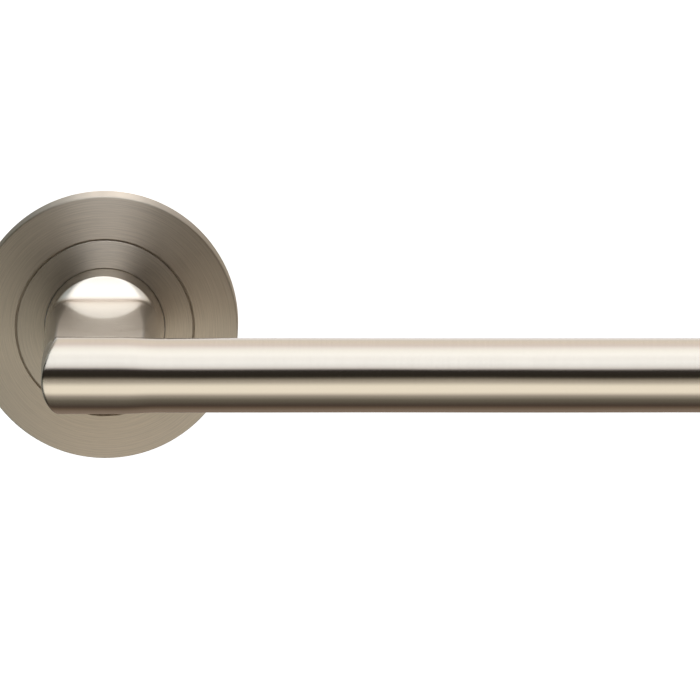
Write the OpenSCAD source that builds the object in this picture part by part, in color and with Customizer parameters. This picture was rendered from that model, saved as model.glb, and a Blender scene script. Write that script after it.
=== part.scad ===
// Sprung door lever handle on a round rose, for the right-hand side of a door:
// a round bar brazed across the front of a flat-sided neck, which turns in the rose.
// Every module is drawn in a rose frame: X to the right, Y up and Z forward, away
// from the door, with Z = 0 on the door face. on_door() turns that frame into the
// part's own frame, which is +Z up and -Y forward.

/* [Grip bar] */
// Diameter of the grip bar
bar_d = 14; // [11:0.5:17]
// Length from the spindle axis to the free end of the bar
lever_len = 132; // [100:1:160]
// Distance from the door face to the bar's axis
bar_reach = 58; // [50:1:75]
// Chamfer at the bar's free end
bar_chamfer = 0.8; // [0.2:0.1:1.5]

/* [Neck] */
// Diameter of the neck where it leaves the rose
neck_base_d = 23; // [20.5:0.5:26]
// Diameter of the neck at the front, where the bar crosses it
neck_front_d = 21.4; // [19:0.2:23]
// How far the neck's flats stand above the bar's surface
flat_rise = 0.3; // [0.1:0.05:0.6]
// Length of the round boss between the rose and the shoulders
boss_len = 8.3; // [6.5:0.1:11]
// Length over which each shoulder drops from the boss to the flat
shoulder_run = 2.2; // [1:0.1:4]

/* [Rose] */
// Diameter of the rose cover
rose_d = 51; // [50:0.5:60]
// Distance from the door face to the front of the rose
rose_h = 6.5; // [6.3:0.1:8]
// Wall thickness of the rose cover
cover_wall = 1; // [0.8:0.05:1.1]
// Radius of the rounding round the cover's front edge
cover_round = 0.5; // [0.2:0.05:0.8]
// Diameter of the collar disc inside the cover
collar_d = 33.7; // [33.6:0.1:35]
// Width of the fine groove between collar disc and cover
groove_w = 0.35; // [0.2:0.05:0.6]

/* [Base plate] */
// Thickness of the base plate
plate_t = 1.3; // [1.1:0.05:1.4]
// Length of the hub that reaches back into the door
hub_len = 5; // [4:0.5:8]
// Centre distance of the two fixing bolts
bolt_span = 38; // [37:0.5:40]
// Length of the locating lugs behind the plate
lug_len = 6; // [3:0.5:10]
// Diameter of the locating lugs
lug_d = 7.6; // [6.5:0.1:8]

/* [Spindle and shank] */
// Width across the spindle's flats
spindle_w = 8; // [7:0.5:9]
// Length of the spindle
spindle_len = 90; // [80:1:110]
// Depth of the spindle socket in front of the door face
socket_depth = 30; // [22:1:36]
// Diameter of the shank's bearing journal
shank_d = 16; // [15.5:0.1:16.4]
// Radial clearance of the shank in its bushes
bearing_gap = 0.05; // [0.02:0.01:0.1]

/* [Return spring and stops] */
// Angle that the lever turns through
lever_travel = 45; // [30:1:55]
// Thickness of the spring strip
strip_t = 0.8; // [0.6:0.05:0.9]
// Turns in the spring
spring_turns = 2.25; // [1.25:1:2.25]
// Diameter of the stop pins and of the spring post
pin_d = 2.4; // [2:0.1:2.6]

/* [Fixings] */
// Thread diameter of the fixing bolts
bolt_d = 4; // [3.5:0.1:4.2]
// How far the fixing bolts reach behind the door face
bolt_reach = 44; // [30:1:60]
// Head diameter of the fixing bolts
bolt_head_d = 7; // [6.5:0.1:7.2]
// Shank diameter of the wood screws
wood_d = 3; // [2.5:0.1:3.4]
// How far the wood screws reach behind the door face
wood_reach = 19; // [12:1:30]

/* [Hidden] */
$fn = 96;
eps = 0.02;
slide_gap = 0.1;                      // round the neck, where it passes the collar disc
key_gap = 0.05;                       // round a keyed or screwed-in piece
bar_r = bar_d / 2;
flat_h = bar_r + flat_rise;           // half the neck's thickness over its flats
neck_base_r = neck_base_d / 2;
neck_front_r = neck_front_d / 2;
bar_front = bar_reach + bar_r;        // front of the bar
neck_root = rose_h - cover_wall - 0.05;   // back of the neck's full width

rose_r = rose_d / 2;
cover_in_r = rose_r - cover_wall;
cover_back = 0.2;                     // the cover stops short of the door
wall_back = rose_h - cover_wall;      // back of the cover's front wall
collar_r = collar_d / 2;
collar_hole_r = neck_base_r + slide_gap;
collar_lip_t = 0.4;
collar_lip_w = 1.3;

shank_r = shank_d / 2;
bush_wall = 1.15;
bush_out_r = shank_r + bearing_gap + bush_wall;
bush_split = -hub_len / 2 + plate_t / 2;  // the two bushes meet here
flange_r = bush_out_r + 0.75;
flange_t = 0.8;
hub_r = bush_out_r + 1.8;
step_r = bush_out_r - 0.2;            // shank step that bears on the front bush
step_back = plate_t + flange_t;
rear_face = -hub_len - flange_t;      // back of the rear bush
wave_t = 0.4;
wave_back = rear_face - 0.05 - wave_t;
washer_t = 0.8;
washer_back = wave_back - 0.05 - washer_t;
clip_t = 1;
clip_back = washer_back - 0.05 - clip_t;
clip_groove_r = shank_r - 0.7;
shank_back = clip_back - 1.3;
socket_w = spindle_w + 0.2;

stop_t = 0.9;
stop_back = neck_root - 0.05 - stop_t;
stop_key = step_r * 0.85;             // half the width over the key flats
stop_plate_r = flange_r + 2.6;
pin_r = pin_d / 2;
spring_in_r = flange_r + strip_t / 2 + 0.2;
strip_pitch = strip_t + 0.6;
spring_out_r = spring_in_r + strip_pitch * spring_turns;
spring_back = step_back + 0.15;
spring_front = stop_back - 0.2;
pin_track_r = max(spring_out_r + strip_t / 2, stop_plate_r) + pin_r + 0.6;
lip_in_r = collar_r - 0.4;
ear_r = min(lip_in_r - 0.2, pin_track_r + pin_r * 0.7);
ear_half = 11;                        // half the angle of the stop plate's ear
ear_at = 90 + lever_travel / 2;       // where the ear stands at rest
pin_half = asin(pin_r / pin_track_r);
stop_play = 0.3;                      // free angle left at each stop
pin_top = wall_back - collar_lip_t - 0.05;
spring_end = -60;                     // direction of the spring's outer end
post_r = pin_track_r + 0.3;
post_half = asin((pin_r + strip_t / 2 + 0.02) / post_r);

plate_r = cover_in_r - 0.3;
rim_in_r = plate_r - 2.2;
rim_top = 3.6;
ring_r = 0.5;                         // cross-section radius of the cover ring
ring_at = 2.3;                        // height of the cover ring
ring_track_r = cover_in_r - 0.04 - ring_r;
boss_top = plate_t + 0.9;
boss_r = 4.8;
bolt_x = bolt_span / 2;
bolt_hole_r = bolt_d / 2 + 0.2;
bolt_washer_t = 0.5;
bolt_washer_r = bolt_head_d / 2 + 0.5;
bolt_head_h = 2;
bolt_seat = boss_top + bolt_washer_t;
thread_depth = 0.25;                  // the plain shanks are this much thinner all round
thread_start = 0.6;                   // threads start this far behind the base plate
wood_y = rim_in_r - 2.5;              // place of the wood screws above and below
wood_head_r = wood_d + 0.4;
recess_w = 0.9;                       // width of a cross recess's blades

grub_r = 2.5;
grub_len = 6;
grub_at = rose_h + boss_len / 2;
grub_key = 2.5;                       // across the flats of its hexagon socket

// Turns the rose frame into the part's frame.
module on_door() {
    rotate([90, 0, 0]) children();
}

// A washer or sleeve between two heights.
module ring(outer, inner, low, high) {
    translate([0, 0, low])
        difference() {
            cylinder(r = outer, h = high - low);
            translate([0, 0, -1]) cylinder(r = inner, h = high - low + 2);
        }
}

// A plain round bar between two heights.
module post(radius, low, high) {
    translate([0, 0, low]) cylinder(r = radius, h = high - low);
}

// A copy at each fixing bolt.
module at_bolts() {
    for (side = [-1, 1]) translate([side * bolt_x, 0, 0]) children();
}

// A copy at each wood screw.
module at_wood_screws() {
    for (side = [-1, 1]) translate([0, side * wood_y, 0]) children();
}

// A copy at each stop pin: the ear's two end positions lie between them.
module at_stop_pins() {
    reach = ear_half + pin_half + stop_play;
    for (angle = [ear_at + reach, ear_at - lever_travel - reach])
        rotate(angle) translate([pin_track_r, 0, 0]) children();
}

// Cross recess cut down from a screw head's top.
module cross_recess(top, depth, span) {
    for (turn = [0, 90])
        rotate(turn)
            translate([-span / 2, -recess_w / 2, top - depth])
                cube([span, recess_w, depth + 1]);
}

// The neck's round flank: a slim cone, wider at the rose.
module neck_flank() {
    post(neck_base_r, neck_root, rose_h);
    translate([0, 0, rose_h])
        cylinder(r1 = neck_base_r, r2 = neck_front_r, h = bar_front - rose_h + 2);
}

// Side view of the neck: round boss, shoulders and flats, up to the bar's axis.
// Its points are [height above the axis, distance from the door].
module neck_side() {
    full = neck_base_r + 1;
    boss_end = rose_h + boss_len;
    drop = (full - flat_h) / (neck_base_r - flat_h) * shoulder_run;
    upper = [[full, neck_root - 1], [full, boss_end - drop + shoulder_run],
        [flat_h, boss_end + shoulder_run], [flat_h, bar_reach]];
    lower = [for (i = [3:-1:0]) [-upper[i][0], upper[i][1]]];
    translate([-full, 0, 0])
        rotate([90, 0, 90])
            linear_extrude(2 * full) polygon(concat(upper, lower));
}

module grip_bar() {
    color("#b5aa9b")
        on_door()
            intersection() {
                translate([0, 0, bar_reach])
                    rotate([0, 90, 0])
                        union() {
                            post(bar_r, -neck_base_r, lever_len - bar_chamfer);
                            translate([0, 0, lever_len - bar_chamfer])
                                cylinder(r1 = bar_r, r2 = bar_r - bar_chamfer,
                                    h = bar_chamfer);
                        }
                union() {
                    neck_flank();
                    translate([0, -bar_d, bar_reach - bar_d])
                        cube([lever_len + 1, 2 * bar_d, 2 * bar_d]);
                }
            }
}

module neck() {
    color("#a89d8d")
        on_door()
            difference() {
                union() {
                    intersection() {
                        neck_flank();
                        neck_side();
                    }
                    post(step_r, step_back, neck_root + eps);
                    post(shank_r, shank_back, step_back + eps);
                }
                // saddle for the bar
                translate([-neck_base_r - 1, 0, bar_reach])
                    rotate([0, 90, 0]) cylinder(r = bar_r, h = 2 * neck_base_r + 2);
                // key flats for the stop plate
                for (side = [-1, 1])
                    translate([-step_r - 1, side * (stop_key + step_r) - step_r,
                        step_back - 1])
                        cube([2 * step_r + 2, 2 * step_r, neck_root - step_back + 1]);
                // square socket for the spindle
                translate([-socket_w / 2, -socket_w / 2, shank_back - 1])
                    cube([socket_w, socket_w, socket_depth - shank_back + 1]);
                // circlip groove
                ring(shank_r + 1, clip_groove_r, clip_back - 0.05, clip_back + clip_t + 0.05);
                // grub screw hole, from below
                translate([0, 0, grub_at])
                    rotate([90, 0, 0]) post(grub_r + key_gap, 0, neck_base_r + 1);
                // slot for the spring's inner end
                rotate(spring_start)
                    translate([spring_in_r - 3.2, -0.2, spring_back - 0.1])
                        cube([3, strip_t / 2 + 0.4, spring_front - spring_back + 0.2]);
            }
}

module spindle() {
    color("#8d8f92")
        on_door()
            translate([-spindle_w / 2, -spindle_w / 2, socket_depth - 1 - spindle_len])
                cube([spindle_w, spindle_w, spindle_len]);
}

module grub_screw() {
    color("#3b3b3d")
        on_door()
            translate([0, 0, grub_at])
                rotate([90, 0, 0])
                    difference() {
                        post(grub_r, spindle_w / 2, spindle_w / 2 + grub_len);
                        translate([0, 0, spindle_w / 2 + grub_len - 2.5])
                            cylinder(d = grub_key / cos(30), h = 3, $fn = 6);
                    }
}

module stop_plate() {
    color("#9aa0a6")
        on_door()
            difference() {
                union() {
                    post(stop_plate_r, stop_back, stop_back + stop_t);
                    translate([0, 0, stop_back])
                        rotate(ear_at - ear_half)
                            rotate_extrude(angle = 2 * ear_half) square([ear_r, stop_t]);
                }
                intersection() {
                    post(step_r + key_gap, stop_back - 1, stop_back + stop_t + 1);
                    translate([-step_r - 1, -stop_key - key_gap, stop_back - 1])
                        cube([2 * step_r + 2, 2 * (stop_key + key_gap), stop_t + 2]);
                }
            }
}

module wave_washer() {
    color("#aeb2b6")
        on_door() ring(flange_r - 0.2, shank_r + 0.15, wave_back, wave_back + wave_t);
}

module thrust_washer() {
    color("#9da3a8")
        on_door() ring(flange_r + 0.5, shank_r + 0.15, washer_back, washer_back + washer_t);
}

module circlip() {
    ear = 1.5;
    out_r = shank_r + 1.4;
    color("#4a4a4c")
        on_door()
            difference() {
                union() {
                    ring(out_r, clip_groove_r + key_gap, clip_back, clip_back + clip_t);
                    for (side = [-1, 1])
                        rotate(-90 + side * 17)
                            translate([out_r - 0.2, 0, 0]) post(ear, clip_back, clip_back + clip_t);
                }
                rotate(-90 - 8)
                    translate([0, 0, clip_back - 1])
                        rotate_extrude(angle = 16) square([out_r + 4, clip_t + 2]);
                for (side = [-1, 1])
                    rotate(-90 + side * 17)
                        translate([out_r, 0, 0]) post(0.6, clip_back - 1, clip_back + clip_t + 1);
                post(clip_groove_r + key_gap, clip_back - 1, clip_back + clip_t + 1);
            }
}

module base_plate() {
    color("#8f9296")
        on_door()
            difference() {
                union() {
                    post(plate_r, 0, plate_t);
                    ring(plate_r, rim_in_r, plate_t - eps, rim_top);
                    post(hub_r, -hub_len, eps);
                    at_bolts() post(lug_d / 2, -lug_len, eps);
                    intersection() {
                        union() {
                            at_bolts() post(boss_r, plate_t - eps, boss_top);
                            at_wood_screws() post(boss_r, plate_t - eps, boss_top);
                        }
                        post(plate_r, 0, rim_top);
                    }
                }
                post(bush_out_r + key_gap, -hub_len - 1, plate_t + 1);
                at_bolts() {
                    post(bolt_hole_r, -lug_len - 1, boss_top + 1);
                    post(bolt_washer_r + 0.2, boss_top, rim_top + 1);
                }
                at_wood_screws() {
                    post(wood_d / 2 + 0.2, -1, boss_top + 1);
                    translate([0, 0, boss_top - wood_head_r + wood_d / 2])
                        cylinder(r1 = wood_d / 2 + 0.2, r2 = wood_head_r + 0.2,
                            h = wood_head_r - wood_d / 2 + eps);
                    post(wood_head_r + 0.2, boss_top, rim_top + 1);
                }
                at_stop_pins() post(pin_r, -1, plate_t + 1);
                rotate(spring_end + post_half) translate([post_r, 0, 0]) post(pin_r, -1, plate_t + 1);
                // groove for the cover ring
                ring(plate_r + 1, ring_track_r - ring_r - 0.02,
                    ring_at - ring_r - 0.05, ring_at + ring_r + 0.05);
            }
}

module front_bush() {
    color("#d9d6cc")
        on_door()
            difference() {
                union() {
                    post(bush_out_r, bush_split + 0.05, plate_t + eps);
                    post(flange_r, plate_t, plate_t + flange_t - 0.05);
                }
                post(shank_r + bearing_gap, bush_split - 1, plate_t + 2);
            }
}

module rear_bush() {
    color("#d9d6cc")
        on_door()
            difference() {
                union() {
                    post(bush_out_r, -hub_len - eps, bush_split - 0.05);
                    post(flange_r, rear_face, -hub_len);
                }
                post(shank_r + bearing_gap, rear_face - 1, bush_split + 1);
            }
}

// Strip along a flat spiral, with a hook to the shank and one to the post.
function spiral_point(turns, side) =
    (spring_in_r + strip_pitch * turns + side * strip_t / 2)
        * [cos(spring_start + 360 * turns), sin(spring_start + 360 * turns)];
spring_start = spring_end - 360 * spring_turns;
spring_steps = 30 * spring_turns;

module return_spring() {
    inside = [for (i = [0:spring_steps]) spiral_point(i / 30, -1)];
    outside = [for (i = [0:spring_steps]) spiral_point((spring_steps - i) / 30, 1)];
    high = spring_front - spring_back;
    color("#6e7276")
        on_door()
            translate([0, 0, spring_back])
                union() {
                    linear_extrude(high) polygon(concat(inside, outside));
                    rotate(spring_start)
                        translate([spring_in_r - 2.6, 0.06, 0]) cube([2.7, strip_t / 2, high]);
                    rotate(spring_end)
                        translate([spring_out_r - 0.1, -strip_t / 2, 0])
                            cube([post_r + pin_r - spring_out_r, strip_t, high]);
                }
}

module stop_pins() {
    color("#b9bdc1")
        on_door() at_stop_pins() post(pin_r, 0, pin_top);
}

module spring_post() {
    color("#b9bdc1")
        on_door() rotate(spring_end + post_half) translate([post_r, 0, 0]) post(pin_r, 0, spring_front);
}

module fixing_bolts() {
    color("#c3c5c7")
        on_door()
            at_bolts()
                difference() {
                    union() {
                        post(bolt_d / 2, -bolt_reach, -lug_len - thread_start);
                        post(bolt_d / 2 - thread_depth, -lug_len - thread_start - eps,
                            bolt_seat + eps);
                        post(bolt_head_d / 2, bolt_seat, bolt_seat + bolt_head_h);
                    }
                    cross_recess(bolt_seat + bolt_head_h, 1.4, bolt_head_d * 0.6);
                }
}

module bolt_washers() {
    color("#a7abb0")
        on_door()
            at_bolts() ring(bolt_washer_r, bolt_hole_r, boss_top, bolt_seat);
}

module wood_screws() {
    cone_h = wood_head_r - wood_d / 2;
    color("#c9b277")
        on_door()
            at_wood_screws()
                difference() {
                    union() {
                        translate([0, 0, boss_top - cone_h])
                            cylinder(r1 = wood_d / 2, r2 = wood_head_r, h = cone_h);
                        post(wood_d / 2 - thread_depth, -thread_start - eps,
                            boss_top - cone_h + eps);
                        post(wood_d / 2, -wood_reach + 4, -thread_start);
                        translate([0, 0, -wood_reach])
                            cylinder(r1 = 0.2, r2 = wood_d / 2, h = 4 + eps);
                    }
                    cross_recess(boss_top, 1.2, wood_d * 1.2);
                }
}

module cover_ring() {
    color("#2b2b2d")
        on_door()
            translate([0, 0, ring_at])
                rotate_extrude() translate([ring_track_r, 0]) circle(r = ring_r, $fn = 32);
}

// Section of the cover: side wall, rounded edge and front wall.
module rose_cover() {
    color("#9c9082")
        on_door()
            rotate_extrude($fn = 180)
                difference() {
                    union() {
                        translate([cover_in_r, cover_back])
                            square([cover_wall, rose_h - cover_round - cover_back]);
                        translate([collar_r + groove_w, wall_back])
                            square([rose_r - cover_round - collar_r - groove_w, cover_wall]);
                        translate([rose_r - cover_round, rose_h - cover_round])
                            circle(r = cover_round, $fn = 48);
                    }
                    translate([0, -1]) square([cover_in_r, wall_back + 1]);
                }
}

module collar_disc() {
    color("#9c9082")
        on_door()
            difference() {
                union() {
                    post(collar_r, wall_back, rose_h);
                    ring(collar_r + collar_lip_w, lip_in_r, wall_back - collar_lip_t, wall_back);
                }
                post(collar_hole_r, wall_back - 1, rose_h + 1);
            }
}

grip_bar();
neck();
spindle();
grub_screw();
stop_plate();
wave_washer();
thrust_washer();
circlip();
base_plate();
front_bush();
rear_bush();
return_spring();
stop_pins();
spring_post();
fixing_bolts();
bolt_washers();
wood_screws();
cover_ring();
rose_cover();
collar_disc();
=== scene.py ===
import bpy, bmesh, math
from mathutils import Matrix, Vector, noise


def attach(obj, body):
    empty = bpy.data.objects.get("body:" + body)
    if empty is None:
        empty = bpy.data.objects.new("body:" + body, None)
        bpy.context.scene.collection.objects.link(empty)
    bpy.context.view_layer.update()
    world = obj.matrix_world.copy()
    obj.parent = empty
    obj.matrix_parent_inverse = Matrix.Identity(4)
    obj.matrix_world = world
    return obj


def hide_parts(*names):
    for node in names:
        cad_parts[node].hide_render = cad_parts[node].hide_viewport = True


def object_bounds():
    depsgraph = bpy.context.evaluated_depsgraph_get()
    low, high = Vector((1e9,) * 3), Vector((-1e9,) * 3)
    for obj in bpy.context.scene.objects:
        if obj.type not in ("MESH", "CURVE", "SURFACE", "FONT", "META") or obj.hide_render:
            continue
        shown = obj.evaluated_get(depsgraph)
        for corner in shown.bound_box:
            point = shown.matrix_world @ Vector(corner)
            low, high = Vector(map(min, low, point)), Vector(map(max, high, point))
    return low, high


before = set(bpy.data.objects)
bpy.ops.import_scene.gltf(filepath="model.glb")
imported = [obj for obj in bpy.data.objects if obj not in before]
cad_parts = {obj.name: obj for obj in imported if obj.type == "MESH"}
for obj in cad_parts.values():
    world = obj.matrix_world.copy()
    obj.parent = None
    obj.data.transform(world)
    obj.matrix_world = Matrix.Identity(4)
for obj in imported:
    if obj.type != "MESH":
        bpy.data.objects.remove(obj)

cadLow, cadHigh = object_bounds()
mm = 0.001   # the sizes below are in millimetres, and Blender's are metres
weldDistance = 1e-6   # points nearer than this, in metres, are joined


def linearColour(hexText, alpha=1.0):
    # sRGB hex to the linear values that the nodes take
    parts = [int(hexText[i:i + 2], 16) / 255 for i in (1, 3, 5)]
    return tuple(c / 12.92 if c <= 0.04045 else ((c + 0.055) / 1.055) ** 2.4
                 for c in parts) + (alpha,)


def addNode(tree, kind, settings=None, **links):
    # settings are the node's own options; in links a socket is joined and a value is set
    node = tree.nodes.new("ShaderNode" + kind)
    for name, value in (settings or {}).items():
        setattr(node, name, value)
    for name, value in links.items():
        numbered = name.startswith("in") and name[2:].isdigit()
        key = int(name[2:]) if numbered else name.replace("_", " ")
        if isinstance(value, bpy.types.NodeSocket):
            tree.links.new(value, node.inputs[key])
        else:
            node.inputs[key].default_value = value
    return node


def newMaterial(name):
    material = bpy.data.materials.new(name)
    material.use_nodes = True
    tree = material.node_tree
    tree.nodes.clear()
    shader = addNode(tree, "BsdfPrincipled")
    addNode(tree, "OutputMaterial", Surface=shader.outputs["BSDF"])
    return material, tree, shader


def smoothStep(low, high, value):
    t = min(1.0, max(0.0, (value - low) / (high - low)))
    return t * t * (3 - 2 * t)


def softMin(a, b, k):
    # the smaller of the two, with a rounding of about k where they cross
    return min(a, b) - max(k - abs(a - b), 0) ** 2 / (4 * k)


def addObject(name, data):
    made = bpy.data.objects.new(name, data)
    bpy.context.scene.collection.objects.link(made)
    return made


def addMesh(name, bm):
    mesh = bpy.data.meshes.new(name)
    bm.to_mesh(mesh)
    bm.free()
    return addObject(name, mesh)


def finishPiece(name, bm, body, material, nodeName, sharpDeg):
    bmesh.ops.remove_doubles(bm, verts=bm.verts, dist=weldDistance)
    bmesh.ops.recalc_face_normals(bm, faces=bm.faces)
    piece = addMesh(name, bm)
    piece.data.shade_smooth()
    piece.data.set_sharp_from_angle(angle=math.radians(sharpDeg))
    piece.data.materials.append(material)
    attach(piece, body)
    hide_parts(nodeName)
    return piece


def loftRings(bm, rings):
    # each ring is a list of points in mm; a circle takes the first, the rest are extruded from it
    count = len(rings[0])
    circle = bmesh.ops.create_circle(bm, segments=count, radius=1)["verts"]
    firstEdges = list({e for v in circle for e in v.link_edges})
    ring = [circle[0]]
    while len(ring) < count:   # put the circle's points in order round it
        ring.append(next(e.other_vert(ring[-1]) for e in ring[-1].link_edges
                         if e.other_vert(ring[-1]) not in ring[-2:]))
    edges = firstEdges
    for points in rings:
        if points is not rings[0]:
            made = bmesh.ops.extrude_edge_only(bm, edges=edges)["geom"]
            fresh = {g for g in made if isinstance(g, bmesh.types.BMVert)}
            ring = [next(e.other_vert(v) for e in v.link_edges if e.other_vert(v) in fresh)
                    for v in ring]
            edges = [g for g in made
                     if isinstance(g, bmesh.types.BMEdge) and all(v in fresh for v in g.verts)]
        for v, p in zip(ring, points):
            v.co = Vector(p) * mm
    bmesh.ops.holes_fill(bm, edges=firstEdges + edges, sides=0)


# the camera stands above the bar and looks down a little, through a long lens
cameraSizes = {"place": (46.97, -2212.0, 389.4), "tiltDeg": 10.123, "lens": 601.2, "sensor": 36,
               "near": 0.1, "far": 50}
lensData = bpy.data.cameras.new("productLens")
lensData.lens = cameraSizes["lens"]
lensData.sensor_width = cameraSizes["sensor"]
lensData.clip_start, lensData.clip_end = cameraSizes["near"], cameraSizes["far"]
camera = addObject("productCamera", lensData)
camera.location = Vector(cameraSizes["place"]) * mm
camera.rotation_euler = (math.radians(90 - cameraSizes["tiltDeg"]), 0, 0)
bpy.context.scene.camera = camera
bpy.context.scene.view_settings.view_transform = "Standard"
print("camera placed")

# the studio is bands of light and shade round the X axis: a soft box above, a dark flag at
# lens height and a warm low fill. 0 degrees is towards the camera, 90 is up and 180 is
# towards the door; a third value makes a band brighter than its colour
lensBands = [(-180, "#4b443e"), (-150, "#6b6058"), (-124, "#695f57"), (-110, "#574c42"),
             (-99, "#3e3530"), (-89, "#45403b"), (-72, "#5f5c55"), (-64, "#7a7871"),
             (-56, "#938e8a"), (-49, "#c4c0b8"), (-43, "#e0ddd4"), (-24, "#e0ddd4"),
             (-17, "#b8b6ae"), (-12, "#85817a"), (-4, "#66625b"), (1, "#4a4640"),
             (5, "#24221c"), (24, "#2a2726"), (27, "#5e5c5d"), (32, "#d4d5da"),
             (39, "#e2e7ee", 1.1), (50, "#e6edf5", 1.15), (62, "#e6ebf2", 1.12),
             (79, "#e8eef5", 1.12), (95, "#e4e8ea"), (107, "#d8d7db"), (116, "#c8c3c4"),
             (135, "#c4beb7"), (150, "#b9b6b2"), (175, "#c6c7cc"), (180, "#8a867f")]
besideBands = [(-180, "#4b443e"), (-124, "#5a5049"), (-99, "#3e3530"), (-72, "#55514a"),
               (-58, "#8a867f"), (-47, "#cfccc4"), (-20, "#cfccc4"), (-8, "#c6c3bb"),
               (-2, "#98948c"), (2, "#55514a"), (6, "#24221c"), (24, "#2a2726"),
               (27, "#5e5c5d"), (32, "#c9cace"), (52, "#dde2e8", 1.2), (95, "#dde1e3", 1.2),
               (112, "#bcb7ba"), (150, "#acaba7"), (175, "#bbbdc3"), (180, "#8a867f")]
sideBands = [(-180, "#8a867f"), (-140, "#5a544c"), (-110, "#322c27"), (-70, "#45403a"),
             (-56, "#8a867f"), (-44, "#cfccc4"), (-22, "#cfccc2"), (-10, "#b0aca1"),
             (-3, "#857f74"), (2, "#35312c"), (8, "#1e1b18"), (70, "#2a2725"),
             (84, "#9a9c9f"), (100, "#b5b8bc"), (125, "#9a958d"), (180, "#8a867f")]
# ranges are shares of the way to one side, so 0 is straight ahead and 1 is square to the side
studioSizes = {"strength": 1.9, "lensToBeside": (0.12, 0.22), "besideToSide": (0.24, 0.36),
               "sideToOuter": (0.55, 0.75), "outerFront": "#2b2722", "outerBehind": "#aaa69f",
               "outerTurn": (-0.05, 0.35), "leftToMiddle": (-0.5, -0.05),
               "leftTint": (0.5, 0.55, 0.56, 1), "middleTint": (1.03, 1.02, 1.0, 1),
               "paper": "#ffffff", "lightMap": 1024}
world = bpy.data.worlds.new("studio")
bpy.context.scene.world = world
world.use_nodes = True
tree = world.node_tree
tree.nodes.clear()
way = addNode(tree, "SeparateXYZ", Vector=addNode(tree, "TexCoord").outputs["Generated"])
ahead = addNode(tree, "Math", {"operation": "MULTIPLY"}, in0=way.outputs["Y"], in1=-1.0)
angle = addNode(tree, "Math", {"operation": "ARCTAN2"}, in0=way.outputs["Z"],
                in1=ahead.outputs[0])
place = addNode(tree, "MapRange", From_Min=-math.pi, From_Max=math.pi, Value=angle.outputs[0])
side = addNode(tree, "Math", {"operation": "ABSOLUTE"}, in0=way.outputs["X"])


def bandRamp(stops):
    ramp = addNode(tree, "ValToRGB", Fac=place.outputs[0])
    bands = ramp.color_ramp.elements
    for i, (degrees, shade, *gain) in enumerate(stops):
        position = (degrees + 180) / 360
        band = bands[i] if i < 2 else bands.new(position)   # a new ramp has two stops already
        band.position = position
        band.color = [c * (gain or [1])[0] for c in linearColour(shade)[:3]] + [1]
    return ramp.outputs["Color"]


def sideMix(span, inner, outer):
    share = addNode(tree, "MapRange", {"interpolation_type": "SMOOTHSTEP"}, From_Min=span[0],
                    From_Max=span[1], Value=side.outputs[0])
    return addNode(tree, "MixRGB", Fac=share.outputs[0], Color1=inner, Color2=outer).outputs[0]


studioColour = sideMix(studioSizes["lensToBeside"], bandRamp(lensBands), bandRamp(besideBands))
studioColour = sideMix(studioSizes["besideToSide"], studioColour, bandRamp(sideBands))
# well out to the sides it is dark in front of the door and pale behind it
behind = addNode(tree, "MapRange", Value=way.outputs["Y"], From_Min=studioSizes["outerTurn"][0],
                 From_Max=studioSizes["outerTurn"][1])
outer = addNode(tree, "MixRGB", Fac=behind.outputs[0],
                Color1=linearColour(studioSizes["outerFront"]),
                Color2=linearColour(studioSizes["outerBehind"]))
studioColour = sideMix(studioSizes["sideToOuter"], studioColour, outer.outputs[0])
# the left of the studio is cooler and darker than the middle and the right
hand = addNode(tree, "MapRange", Value=way.outputs["X"],
               From_Min=studioSizes["leftToMiddle"][0], From_Max=studioSizes["leftToMiddle"][1])
handTint = addNode(tree, "MixRGB", Fac=hand.outputs[0], Color1=studioSizes["leftTint"],
                   Color2=studioSizes["middleTint"])
tinted = addNode(tree, "MixRGB", {"blend_type": "MULTIPLY"}, Fac=1.0, Color1=studioColour,
                 Color2=handTint.outputs[0])
studioLight = addNode(tree, "Background", Color=tinted.outputs[0],
                      Strength=studioSizes["strength"])
paper = addNode(tree, "Background", Color=linearColour(studioSizes["paper"]), Strength=1.0)
seen = addNode(tree, "LightPath")
mixed = addNode(tree, "MixShader", in0=seen.outputs["Is Camera Ray"],
                in1=studioLight.outputs[0], in2=paper.outputs[0])
addNode(tree, "OutputWorld", Surface=mixed.outputs[0])
world.cycles.sampling_method = "MANUAL"
world.cycles.sample_map_resolution = studioSizes["lightMap"]

# a pale floor well below, left out of the metal's reflections; sizes in metres
floorSizes = {"halfWidth": 12, "below": 0.35, "colour": "#f4f3f0", "roughness": 0.9,
              "glow": "#ffffff", "glowStrength": 0.6}
bm = bmesh.new()
bmesh.ops.create_grid(bm, x_segments=1, y_segments=1, size=floorSizes["halfWidth"])
bmesh.ops.translate(bm, verts=bm.verts, vec=(0, 0, cadLow.z - floorSizes["below"]))
floor = addMesh("paleFloor", bm)
floorPaint, tree, shader = newMaterial("palePaintedFloor")   # matt paint, almost white
shader.inputs["Base Color"].default_value = linearColour(floorSizes["colour"])
shader.inputs["Roughness"].default_value = floorSizes["roughness"]
shader.inputs["Emission Color"].default_value = linearColour(floorSizes["glow"])
shader.inputs["Emission Strength"].default_value = floorSizes["glowStrength"]
floor.data.materials.append(floorPaint)
floor.visible_glossy = False
print("studio and floor placed")

# real grinding lines are about 0.05 mm apart, and are drawn 0.2 mm or more so that they show;
# lineLong is a line's length in line spacings
nickelLines = {"lineLong": 40, "contrast": (0.3, 0.7), "detail": 3.0, "bumpMm": 0.01,
               "glossChange": 0.1, "coatRoughness": 0.07}


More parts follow.
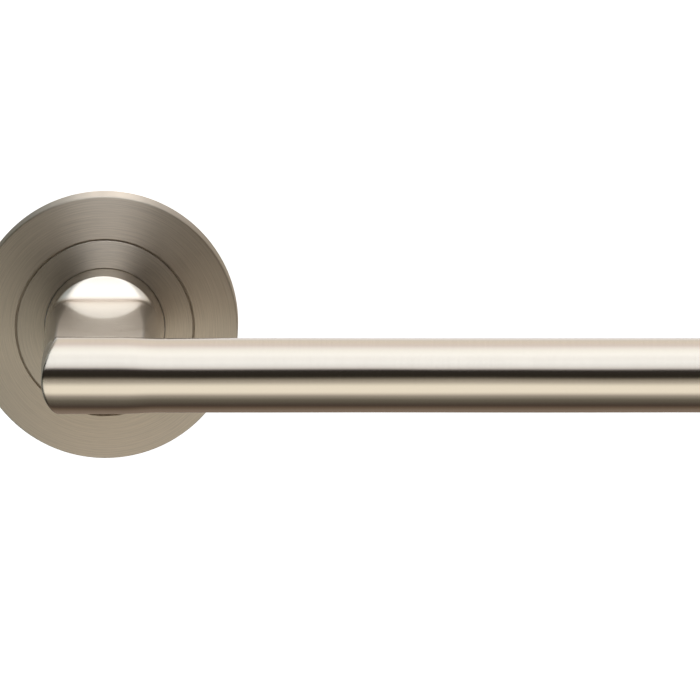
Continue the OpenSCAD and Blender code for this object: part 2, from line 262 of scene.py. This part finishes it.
def brushedNickel(name, finish):
    # satin nickel plate over a ground surface: the light smears across the grinding lines.
    # spread is how far it smears, and lacquer adds the sharp gloss of a clear coat
    material, tree, shader = newMaterial(name)
    place = addNode(tree, "TexCoord").outputs["Object"]
    if finish["pattern"] == "circles":       # turned against the belt, round the Y axis
        flat = addNode(tree, "VectorMath", {"operation": "MULTIPLY"}, in0=place,
                       in1=(1, 0, 1)).outputs[0]
        across = addNode(tree, "VectorMath", {"operation": "LENGTH"}, in0=flat).outputs["Value"]
        parts = addNode(tree, "SeparateXYZ", Vector=flat)
        turn = addNode(tree, "Math", {"operation": "ARCTAN2"}, in0=parts.outputs["Z"],
                       in1=parts.outputs["X"])
        along = addNode(tree, "Math", {"operation": "MULTIPLY"}, in0=turn.outputs[0],
                        in1=finish["meanRadius"] * mm).outputs[0]
        smear = flat
    else:
        parts = addNode(tree, "SeparateXYZ", Vector=place)
        if finish["pattern"] == "round bar":   # ground between centres, round the bar
            across, along, smear = parts.outputs["X"], parts.outputs["Z"], (1, 0, 0)
        else:                                  # linished flats, straight across the neck
            across, along, smear = parts.outputs["Y"], parts.outputs["X"], (0, 1, 0)
    lineSpacing = finish["lineMm"] * mm
    acrossScaled = addNode(tree, "Math", {"operation": "MULTIPLY"}, in0=across,
                           in1=1 / lineSpacing)
    alongScaled = addNode(tree, "Math", {"operation": "MULTIPLY"}, in0=along,
                          in1=1 / (lineSpacing * nickelLines["lineLong"]))
    lineSpace = addNode(tree, "CombineXYZ", X=acrossScaled.outputs[0], Y=alongScaled.outputs[0])
    lines = addNode(tree, "TexNoise", {"noise_dimensions": "2D"}, Vector=lineSpace.outputs[0],
                    Scale=1.0, Detail=nickelLines["detail"], Roughness=0.7).outputs["Fac"]
    low, high = nickelLines["contrast"]
    shade = addNode(tree, "MapRange", Value=lines, From_Min=low, From_Max=high,
                    To_Min=1 - finish["tone"], To_Max=1 + finish["tone"])
    colourNode = addNode(tree, "VectorMath", {"operation": "SCALE"},
                         in0=linearColour(finish["colour"])[:3], Scale=shade.outputs[0])
    rough = addNode(tree, "MapRange", Value=lines, From_Min=low, From_Max=high,
                    To_Min=finish["roughness"] * (1 - nickelLines["glossChange"]),
                    To_Max=finish["roughness"] * (1 + nickelLines["glossChange"]))
    bump = addNode(tree, "Bump", Height=lines, Strength=finish["bump"],
                   Distance=nickelLines["bumpMm"] * mm)
    tangent = addNode(tree, "VectorTransform", {"vector_type": "VECTOR",
                      "convert_from": "OBJECT", "convert_to": "WORLD"}, Vector=smear)
    shader.inputs["Metallic"].default_value = 1.0
    shader.inputs["Anisotropic"].default_value = finish["spread"]
    shader.inputs["Coat Weight"].default_value = finish["lacquer"]
    shader.inputs["Coat Roughness"].default_value = nickelLines["coatRoughness"]
    for socket, source in (("Base Color", colourNode), ("Roughness", rough), ("Normal", bump),
                           ("Tangent", tangent)):
        tree.links.new(source.outputs[0], shader.inputs[socket])
    return material


roseFinish = {"pattern": "circles", "colour": "#ddd2c4", "roughness": 0.45, "spread": 0.93,
              "lineMm": 0.22, "meanRadius": 17, "tone": 0.11, "bump": 0.15, "lacquer": 0.0}
barFinish = {"pattern": "round bar", "colour": "#d4cbbf", "roughness": 0.22, "spread": 0.95,
             "lineMm": 0.25, "tone": 0.03, "bump": 0.018, "lacquer": 0.0}
endFinish = {"pattern": "flats", "colour": "#d4cbbf", "roughness": 0.3, "spread": 0.0,
             "lineMm": 0.25, "tone": 0.05, "bump": 0.05, "lacquer": 0.0}
# the neck's colour is lighter than the bar's same nickel plate: a painted highlight that makes
# the shoulder brighter
neckFinishPaintedBright = {"pattern": "flats", "colour": "#e6dccf", "roughness": 0.3, "spread": 0.0,
              "lineMm": 0.2, "tone": 0.03, "bump": 0.04, "lacquer": 0.85}
# fine rings round the neck, with light and dark fans that run out from the middle
roseNickel = brushedNickel("satinNickelTurned", roseFinish)
# long straight highlights that run the whole length of the bar
barNickel = brushedNickel("satinNickelGroundRound", barFinish)
# an even soft grey on the bar's two ends
endNickel = brushedNickel("satinNickelEndFaces", endFinish)
# a soft glow on the flats, and clean bright reflections in the lacquer on the round boss; its
# colour is lighter than the bar's, though both are the same nickel, which is a painted highlight
# that brightens the shoulder
neckNickelPaintedBright = brushedNickel("satinNickelLinishedPaintedBright", neckFinishPaintedBright)


# grains finer than 0.15 mm are drawn at that size or more, so that they show; a cloud is
# cloudLong grains wide
grainSizes = {"cloudLong": 25, "contrast": (0.7, 1.3), "glossChange": 0.15, "bumpStrength": 0.5}


def plainFinish(name, colour, metallic, roughness, grainMm, grainDeepMm, tone=0.06):
    # a fine random grain in colour, gloss and height, with larger clouds in the first two
    material, tree, shader = newMaterial(name)
    place = addNode(tree, "TexCoord").outputs["Object"]
    grain = addNode(tree, "TexNoise", Vector=place, Scale=1 / (grainMm * mm), Detail=4.0,
                    Roughness=0.6)
    cloud = addNode(tree, "TexNoise", Vector=place,
                    Scale=1 / (grainMm * grainSizes["cloudLong"] * mm), Detail=2.0)
    both = addNode(tree, "Math", {"operation": "ADD"}, in0=grain.outputs["Fac"],
                   in1=cloud.outputs["Fac"])
    low, high = grainSizes["contrast"]
    shade = addNode(tree, "MapRange", Value=both.outputs[0], From_Min=low, From_Max=high,
                    To_Min=1 - tone, To_Max=1 + tone)
    colourNode = addNode(tree, "VectorMath", {"operation": "SCALE"},
                         in0=linearColour(colour)[:3], Scale=shade.outputs[0])
    rough = addNode(tree, "MapRange", Value=both.outputs[0], From_Min=low, From_Max=high,
                    To_Min=roughness * (1 - grainSizes["glossChange"]),
                    To_Max=roughness * (1 + grainSizes["glossChange"]))
    bump = addNode(tree, "Bump", Height=grain.outputs["Fac"],
                   Strength=grainSizes["bumpStrength"], Distance=grainDeepMm * mm)
    shader.inputs["Metallic"].default_value = metallic
    for socket, source in (("Base Color", colourNode), ("Roughness", rough), ("Normal", bump)):
        tree.links.new(source.outputs[0], shader.inputs[socket])
    return material


# dull mid grey with the grain of the mould
castZinc = plainFinish("dieCastZinc", "#b4b6b8", 1.0, 0.48, 0.35, 0.02)
# pale, a little blue, with a soft shine
zincPlate = plainFinish("clearZincPlate", "#c9cccf", 1.0, 0.32, 0.2, 0.006)
# gold that clouds from yellow to brown
yellowZinc = plainFinish("yellowPassivatedZinc", "#cdb36a", 1.0, 0.33, 0.3, 0.006, 0.12)
# darker and smoother than the plating, as it leaves the rolls
springSteel = plainFinish("rolledSpringSteel", "#8f9296", 1.0, 0.28, 0.15, 0.004)
# almost black, with an oily sheen on the edges
blackSteel = plainFinish("blackOxideSteel", "#3c3c3f", 0.9, 0.42, 0.2, 0.006)
# off-white and waxy, with a broad soft highlight
nylon = plainFinish("mouldedNylon", "#e2ded2", 0.0, 0.45, 0.3, 0.008, 0.03)
# matt black, with no clear highlight
rubber = plainFinish("nitrileRubber", "#242426", 0.0, 0.6, 0.25, 0.01)
print("materials made")

# reach is from the door to the bar's axis; the ripple is the hand grinding's slight waviness
barSizes = {"radius": 7.0, "reach": 58.0, "length": 132.0, "endRound": 0.8, "heelRound": 0.6,
            "heelBack": 0.15, "heelTurn": 0.3, "heelStart": -9, "roundFrom": 8, "swell": 0.26,
            "swellSpan": (4, 11), "ripple": 0.035, "rippleLong": 34, "rippleRound": 1.3,
            "endFacing": 0.75, "sharpDeg": 50, "segments": 160, "rings": 70, "edgeRings": 8,
            "sideRings": 12}
neckSizes = {"rootRadius": 11.5, "frontRadius": 10.7, "roseFront": 6.5, "root": 5.45,
             "flatHeight": 7.3, "bossEnd": 14.8, "shoulderRun": 3.8, "shoulderBlend": 0.15,
             "flankGap": 0.003, "cornerRound": 5.0, "cornerLoss": 0.9, "cornerFrom": 17,
             "cornerRun": 30, "intoBar": 0.25, "endDrop": 0.26, "flankSteps": 30,
             "cornerSteps": 10, "flatSteps": 10, "saddleSteps": 8, "pastBar": 2, "sharpDeg": 50}
coneLength = (barSizes["reach"] + barSizes["radius"] + neckSizes["pastBar"]
              - neckSizes["roseFront"])


def flankRadius(forward):
    # the neck's round flanks taper towards the bar
    t = max(0.0, (forward - neckSizes["roseFront"]) / coneLength)
    return neckSizes["rootRadius"] + (neckSizes["frontRadius"] - neckSizes["rootRadius"]) * t


def barPoint(x, around, scale=1.0):
    # around: 0 faces the camera, 90 degrees is up
    swell = barSizes["swell"] * (1 - smoothStep(*barSizes["swellSpan"], x))
    where = Vector((x / barSizes["rippleLong"], math.cos(around) * barSizes["rippleRound"],
                    math.sin(around) * barSizes["rippleRound"]))
    wave = barSizes["ripple"] * noise.noise(where)
    radius = barSizes["radius"] + min(0.0, wave - barSizes["ripple"] * 0.5)
    y = -barSizes["reach"] - radius * scale * math.cos(around)
    z = (radius + swell) * scale * math.sin(around)
    return y, z


def heelX(y, z):
    # the bar's heel lies in the neck's round flank
    return -math.sqrt(max(0.0, flankRadius(-y) ** 2 - z * z))


def heelEdge(around, t):
    # a rounded edge from the heel's face, at t = 0, to the bar's side, at t = 1, and sharper
    # on the door's side, by heelBack
    front = smoothStep(-barSizes["heelTurn"], barSizes["heelTurn"], math.cos(around))
    fillet = barSizes["heelRound"] * (barSizes["heelBack"] + (1 - barSizes["heelBack"]) * front)
    yIn, zIn = barPoint(barSizes["heelStart"], around, 1 - fillet / barSizes["radius"])
    yOut, zOut = barPoint(barSizes["heelStart"], around)
    corner = heelX(yOut, zOut)
    start, end = Vector((heelX(yIn, zIn), yIn, zIn)), Vector((corner + fillet, yOut, zOut))
    bend = Vector((corner, yOut, zOut))
    return tuple(start * (1 - t) ** 2 + bend * 2 * t * (1 - t) + end * t * t)


# rings from the middle of the heel, along the bar and in to the middle of its far end
turns = [2 * math.pi * i / barSizes["segments"] for i in range(barSizes["segments"])]
edgeRings, sideRings = barSizes["edgeRings"], barSizes["sideRings"]
rings = []
for scale in (0.01, 0.2, 0.4, 0.6, 0.75, 0.85):
    heelRing = [barPoint(barSizes["heelStart"], a, scale) for a in turns]
    rings.append([(heelX(y, z), y, z) for y, z in heelRing])
for step in range(edgeRings + 1):
    rings.append([heelEdge(a, step / edgeRings) for a in turns])
heelSide = rings[-1]
for step in range(1, sideRings + 1):
    along = [p[0] + (barSizes["roundFrom"] - p[0]) * (step / sideRings) for p in heelSide]
    rings.append([(x, *barPoint(x, a)) for x, a in zip(along, turns)])
barEnd = barSizes["length"] - barSizes["endRound"]
for step in range(1, barSizes["rings"] + 1):
    x = barSizes["roundFrom"] + (barEnd - barSizes["roundFrom"]) * step / barSizes["rings"]
    rings.append([(x, *barPoint(x, a)) for a in turns])
for step in range(1, edgeRings + 1):
    bend = math.radians(90 * step / edgeRings)
    x = barEnd + barSizes["endRound"] * math.sin(bend)
    scale = 1 - barSizes["endRound"] * (1 - math.cos(bend)) / barSizes["radius"]
    rings.append([(x, *barPoint(x, a, scale)) for a in turns])
for scale in (0.7, 0.4, 0.01):
    rings.append([(barSizes["length"], *barPoint(barSizes["length"], a, scale)) for a in turns])
bm = bmesh.new()
loftRings(bm, rings)
gripBar = finishPiece("gripBar", bm, "lever", barNickel, "grip_bar",
                      barSizes["sharpDeg"])
gripBar.data.materials.append(endNickel)   # the lines run straight across the two ends
for face in gripBar.data.polygons:
    face.material_index = 1 if abs(face.normal.x) > barSizes["endFacing"] else 0
print("grip bar made")


def halfHeight(forward):
    # the round boss drops to the flat in a hollow sweep
    radius = flankRadius(forward)
    share = (forward - neckSizes["bossEnd"]) / neckSizes["shoulderRun"]
    rise = neckSizes["rootRadius"] - neckSizes["flatHeight"]
    height = neckSizes["flatHeight"] + rise * (1 - min(1, share)) ** 2
    return min(softMin(height, radius, neckSizes["shoulderBlend"]),
               radius - neckSizes["flankGap"])


def neckRing(forward, endShare=0.0):
    # an outline of round flank, rounded corner and flat, the same in all four quarters;
    # endShare carries it from a plane ring, at 0, to the saddle that meets the bar, at 1
    radius, height = flankRadius(forward), halfHeight(forward)
    cornerShare = min(1, max(0, (forward - neckSizes["cornerFrom"]) / neckSizes["cornerRun"]))
    rounding = neckSizes["cornerRound"] * (1 - neckSizes["cornerLoss"] * cornerShare)
    centreX = math.sqrt(max(0.0, (radius - rounding) ** 2 - (height - rounding) ** 2))
    tangent = math.atan2(height - rounding, centreX)
    flank, corner, flat = (neckSizes[key] for key in ("flankSteps", "cornerSteps", "flatSteps"))
    bends = [tangent * i / flank for i in range(flank)]
    quarter = [(radius * math.cos(a), radius * math.sin(a)) for a in bends]
    bends = [tangent + (math.pi / 2 - tangent) * i / corner for i in range(corner)]
    quarter += [(centreX + rounding * math.cos(a), height - rounding + rounding * math.sin(a))
                for a in bends]
    quarter += [(centreX * (1 - i / flat), height) for i in range(flat + 1)]
    upper = quarter + [(-x, z) for x, z in reversed(quarter[:-1])]
    outline = upper + [(x, -z) for x, z in reversed(upper[1:-1])]
    seatRadius = barSizes["radius"] - neckSizes["intoBar"]
    points = []
    for x, z in outline:
        saddle = barSizes["reach"] - math.sqrt(max(0.0, seatRadius ** 2 - z * z))
        # the flats run out on the bar
        drop = neckSizes["endDrop"] / neckSizes["flatHeight"] * endShare ** 2
        points.append((x, -(forward + (saddle - forward) * endShare), z * (1 - drop)))
    return points


# the rings are closest where the boss drops to the flat
stations = [neckSizes["root"], 5.6, 6.0, 7.0, 9.0, 11.0, 12.5, 13.5, 14.0]
stations += [14.0 + 0.08 * i for i in range(1, 63)]
stations += [19.4 + i * 1.55 for i in range(17)]
rings = [neckRing(f) for f in stations]
for step in range(1, neckSizes["saddleSteps"] + 1):
    rings.append(neckRing(stations[-1], step / neckSizes["saddleSteps"]))
bm = bmesh.new()
loftRings(bm, rings)
neckPiece = finishPiece("leverNeck", bm, "lever", neckNickelPaintedBright, "neck",
                        neckSizes["sharpDeg"])

# the clamping screw's hole is cut up from below, as far as the spindle
holeSizes = {"forward": 10.65, "radius": 2.55, "top": -4.1, "bottom": -13.0}
bm = bmesh.new()
bmesh.ops.create_cone(bm, cap_ends=True, segments=48, radius1=holeSizes["radius"] * mm,
                      radius2=holeSizes["radius"] * mm,
                      depth=(holeSizes["top"] - holeSizes["bottom"]) * mm)
bmesh.ops.translate(bm, verts=bm.verts, vec=(0, -holeSizes["forward"] * mm,
                    (holeSizes["top"] + holeSizes["bottom"]) / 2 * mm))
drill = addMesh("screwHoleDrill", bm)
drilling = neckPiece.modifiers.new("screwHole", "BOOLEAN")
drilling.operation = "DIFFERENCE"
drilling.solver = "EXACT"
drilling.object = drill
bpy.context.view_layer.update()
evaluated = neckPiece.evaluated_get(bpy.context.evaluated_depsgraph_get())
drilled = bpy.data.meshes.new_from_object(evaluated)
neckPiece.modifiers.clear()
neckPiece.data = drilled
drilled.set_sharp_from_angle(angle=math.radians(neckSizes["sharpDeg"]))
bpy.data.objects.remove(drill)
print("neck made")


def spunPiece(profile):
    # profile: points (radius, forward) in mm, spun round the Y axis
    bm = bmesh.new()
    verts = [bm.verts.new((r * mm, -f * mm, 0)) for r, f in profile]
    edges = [bm.edges.new((a, b)) for a, b in zip(verts, verts[1:] + verts[:1])]
    bmesh.ops.spin(bm, geom=verts + edges, axis=(0, 1, 0), cent=(0, 0, 0), angle=2 * math.pi,
                   steps=256, use_merge=True)
    return bm


def arc(centreR, centreF, radius, fromDeg, toDeg, count):
    angles = [math.radians(fromDeg + (toDeg - fromDeg) * i / count) for i in range(count + 1)]
    return [(centreR + radius * math.cos(a), centreF + radius * math.sin(a)) for a in angles]


# the cover is a shallow cup, and the collar disc is let into it from behind on a thin lip
roseSizes = {"radius": 25.5, "height": 6.5, "wall": 1.0, "back": 0.2, "rimRound": 0.35,
             "collarRadius": 16.85, "groove": 0.35, "grooveRound": 0.12, "neckHole": 11.58,
             "holeRound": 0.15, "lipInner": 16.45, "lipOuter": 18.15, "lipThick": 0.4,
             "sharpDeg": 35}
r = roseSizes
holeRadius = r["collarRadius"] + r["groove"]
inside = r["height"] - r["wall"]
profile = [(r["radius"] - r["wall"], r["back"]), (r["radius"], r["back"])]
profile += arc(r["radius"] - r["rimRound"], r["height"] - r["rimRound"], r["rimRound"], 0, 90, 6)
profile += arc(holeRadius + r["grooveRound"], r["height"] - r["grooveRound"], r["grooveRound"],
               90, 180, 4)
profile += [(holeRadius, inside), (r["radius"] - r["wall"], inside)]
finishPiece("roseCover", spunPiece(profile), "cover", roseNickel, "rose_cover",
            r["sharpDeg"])

profile = [(r["neckHole"], inside), (r["lipInner"], inside),
           (r["lipInner"], inside - r["lipThick"]), (r["lipOuter"], inside - r["lipThick"]),
           (r["lipOuter"], inside), (r["collarRadius"], inside)]
profile += arc(r["collarRadius"] - r["grooveRound"], r["height"] - r["grooveRound"],
               r["grooveRound"], 0, 90, 4)
profile += arc(r["neckHole"] + r["holeRound"], r["height"] - r["holeRound"], r["holeRound"],
               90, 180, 4)
finishPiece("collarDisc", spunPiece(profile), "cover", roseNickel,
            "collar_disc", r["sharpDeg"])
print("rose made")


screwShape = {"segments": 48, "flankSlope": 1.2, "runOut": 0.2, "sharpDeg": 40}


def screwRings(centre, stations, recess):
    # stations: (forward, radius, thread depth, pitch) from the tip to the head, which ends in
    # a cross recess
    shares = [i / screwShape["segments"] for i in range(screwShape["segments"])]
    rings = []
    for forward, radius, depth, pitch in stations:
        ring = []
        for around in shares:
            dip = abs(2 * ((forward / pitch - around) % 1) - 1) if depth else 0
            reach = radius - depth * min(1, screwShape["flankSlope"] * dip)
            ring.append((centre[0] + reach * math.cos(2 * math.pi * around), -forward,
                         centre[1] + reach * math.sin(2 * math.pi * around)))
        rings.append(ring)
    half, arm = recess["width"] / 2, recess["span"] / 2
    for depthShare, scale in ((0, 1), (0.85, 0.75), (1, 0.5)):   # it narrows to its floor
        ring = []
        for around in shares:
            cosine, sine = math.cos(2 * math.pi * around), math.sin(2 * math.pi * around)
            c, s = max(1e-6, abs(cosine)), max(1e-6, abs(sine))
            reach = scale * max(min(arm / c, half / s), min(half / c, arm / s))
            ring.append((centre[0] + reach * cosine,
                         -(stations[-1][0] - recess["depth"] * depthShare),
                         centre[1] + reach * sine))
        rings.append(ring)
    return rings


def threadRun(start, end, radius, depth, pitch, steps):
    # steps rings for each turn; the thread fades in and out over one turn
    count = round((end - start) / pitch * steps)
    return [(start + (end - start) * i / count, radius,
             depth * min(1, i / steps, (count - i) / steps), pitch) for i in range(count + 1)]


# a machine screw with a domed head; forward is measured from the door, so a tip is negative
boltSizes = {"across": 19.0, "radius": 2.0, "plainRadius": 1.75, "tip": -44.0,
             "tipChamfer": 0.5, "threadEnd": -6.6, "seat": 2.7, "headRadius": 3.5,
             "headHeight": 2.0, "headRound": 0.9, "headEdge": 0.1, "threadDepth": 0.38,
             "pitch": 0.7, "recess": {"depth": 1.4, "width": 0.9, "span": 4.2}}
b = boltSizes
stations = [(b["tip"], b["radius"] - b["tipChamfer"], 0, 1)]
stations += threadRun(b["tip"] + b["tipChamfer"], b["threadEnd"], b["radius"], b["threadDepth"],
                      b["pitch"], 7)
stations += [(b["threadEnd"] + screwShape["runOut"], b["plainRadius"], 0, 1),
             (b["seat"], b["plainRadius"], 0, 1),
             (b["seat"], b["headRadius"] - b["headEdge"], 0, 1),
             (b["seat"] + b["headEdge"], b["headRadius"], 0, 1)]
stations += [(forward, radius, 0, 1) for radius, forward in
             arc(b["headRadius"] - b["headRound"], b["seat"] + b["headHeight"] - b["headRound"],
                 b["headRound"], 0, 90, 6)]
for name, across in (("boltLeft", -b["across"]), ("boltRight", b["across"])):
    bm = bmesh.new()
    loftRings(bm, screwRings((across, 0), stations, b["recess"]))
    finishPiece(name, bm, "rose", zincPlate, "fixing_bolts",
                screwShape["sharpDeg"])

# a wood screw: a tapered point, a coarse thread and a countersunk head
woodSizes = {"upDown": 19.5, "radius": 1.5, "plainRadius": 1.2, "tip": -19.0, "tipRadius": 0.1,
             "tipThread": 0.02, "taperEnd": -14.5, "taperThread": 0.3, "taperSteps": 24,
             "threadEnd": -0.6, "headTop": 2.2, "headRadius": 3.4, "headEdge": 0.1,
             "headShoulder": (0.25, 0.15), "threadDepth": 0.5, "pitch": 1.35,
             "recess": {"depth": 1.2, "width": 0.9, "span": 3.6}}
w = woodSizes
stations = [(w["tip"], w["tipRadius"] / 2, 0, 1)]
for i in range(1, w["taperSteps"]):
    share = i / w["taperSteps"]
    stations.append((w["tip"] + (w["taperEnd"] - w["tip"]) * share,
                     w["tipRadius"] + (w["radius"] - w["tipRadius"]) * share,
                     w["taperThread"] * w["threadDepth"] * share + w["tipThread"], w["pitch"]))
stations += threadRun(w["taperEnd"], w["threadEnd"], w["radius"], w["threadDepth"], w["pitch"],
                      12)
headCone = w["headRadius"] - w["radius"]
stations += [(w["threadEnd"] + screwShape["runOut"], w["plainRadius"], 0, 1),
             (w["headTop"] - headCone, w["plainRadius"], 0, 1),
             (w["headTop"] - w["headShoulder"][0], w["headRadius"] - w["headShoulder"][1], 0, 1),
             (w["headTop"] - w["headEdge"], w["headRadius"], 0, 1),
             (w["headTop"], w["headRadius"] - w["headEdge"], 0, 1)]
for name, up in (("woodScrewTop", w["upDown"]), ("woodScrewBottom", -w["upDown"])):
    bm = bmesh.new()
    loftRings(bm, screwRings((0, up), stations, w["recess"]))
    finishPiece(name, bm, "rose", yellowZinc, "wood_screws",
                screwShape["sharpDeg"])
print("fixings made")

# a square bar, chamfered at both ends
spindleSizes = {"across": 8.0, "back": 61.0, "front": -29.0, "edge": 0.45, "endEdge": 0.9,
                "sharpDeg": 40}
s = spindleSizes
bm = bmesh.new()
bmesh.ops.create_cube(bm, size=1)
bmesh.ops.scale(bm, verts=bm.verts,
                vec=(s["across"] * mm, (s["back"] - s["front"]) * mm, s["across"] * mm))
bmesh.ops.translate(bm, verts=bm.verts, vec=(0, (s["back"] + s["front"]) / 2 * mm, 0))
endEdges = [e for e in bm.edges if abs(e.verts[0].co.y - e.verts[1].co.y) < weldDistance]
bmesh.ops.bevel(bm, geom=endEdges, offset=s["endEdge"] * mm, offset_type="OFFSET",
                affect="EDGES", segments=1, profile=0.5, material=-1)
longest = max(e.calc_length() for e in bm.edges)
longEdges = [e for e in bm.edges if abs(e.verts[0].co.y - e.verts[1].co.y) > longest / 2]
bmesh.ops.bevel(bm, geom=longEdges, offset=s["edge"] * mm, offset_type="OFFSET",
                affect="EDGES", segments=3, profile=0.5, material=-1)
finishPiece("spindleBar", bm, "lever", zincPlate, "spindle",
            s["sharpDeg"])
print("spindle made")


edgeSizes = {"flatDeg": 1, "sharpDeg": 50, "shadeDeg": 20, "segments": 2}


def brokenEdges(nodeName, pieceName, body, slotName, material, width, cutForward=None):
    # a copy of a part with its edges broken; cutForward keeps only what lies nearer the door
    bm = bmesh.new()
    bm.from_mesh(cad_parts[nodeName].data)
    bmesh.ops.remove_doubles(bm, verts=bm.verts, dist=weldDistance)
    if cutForward is not None:
        cut = bmesh.ops.bisect_plane(bm, geom=bm.verts[:] + bm.edges[:] + bm.faces[:],
                                     clear_outer=True, plane_co=(0, -cutForward * mm, 0),
                                     plane_no=(0, -1, 0))["geom_cut"]
        bmesh.ops.triangle_fill(bm, edges=[g for g in cut if isinstance(g, bmesh.types.BMEdge)],
                                use_beauty=True)
    bmesh.ops.dissolve_limit(bm, angle_limit=math.radians(edgeSizes["flatDeg"]),
                             verts=bm.verts, edges=bm.edges)
    sharpAngle = math.radians(edgeSizes["sharpDeg"])
    sharp = [e for e in bm.edges if len(e.link_faces) == 2 and e.calc_face_angle(0) > sharpAngle]
    bmesh.ops.bevel(bm, geom=sharp, offset=width * mm, offset_type="OFFSET", affect="EDGES",
                    segments=edgeSizes["segments"], profile=0.5, material=-1,
                    clamp_overlap=True)
    finishPiece(pieceName, bm, body, material, nodeName, edgeSizes["shadeDeg"])


# the node, its piece and body, the slot and finish, and how wide its edges are broken in mm
workingParts = (
    ("neck", "leverShank", "lever", "satin_nickel", roseNickel, 0.12, neckSizes["root"] - 0.01),
    ("base_plate", "basePlate", "rose", "zinc_casting", castZinc, 0.18),
    ("stop_plate", "stopPlate", "lever", "zinc_plated_steel", zincPlate, 0.1),
    ("thrust_washer", "thrustWasher", "lever", "zinc_plated_steel", zincPlate, 0.1),
    ("circlip", "shaftClip", "lever", "black_steel", blackSteel, 0.1),
    ("grub_screw", "grubScrew", "lever", "black_steel", blackSteel, 0.15),
    ("front_bush", "frontBush", "rose", "nylon", nylon, 0.12),
    ("rear_bush", "rearBush", "rose", "nylon", nylon, 0.12),
    ("stop_pins", "stopPins", "rose", "zinc_plated_steel", zincPlate, 0.2),
    ("spring_post", "springPost", "rose", "zinc_plated_steel", zincPlate, 0.2),
    ("bolt_washers", "boltWashers", "rose", "zinc_plated_steel", zincPlate, 0.08))
for part in workingParts:
    brokenEdges(*part)
print("working parts made")

# the rest keep their own shapes
finishes = {"wave_washer": springSteel, "return_spring": springSteel, "cover_ring": rubber}
for name, material in finishes.items():
    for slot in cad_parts[name].material_slots:
        slot.material = material
print("finishes given to the other parts")
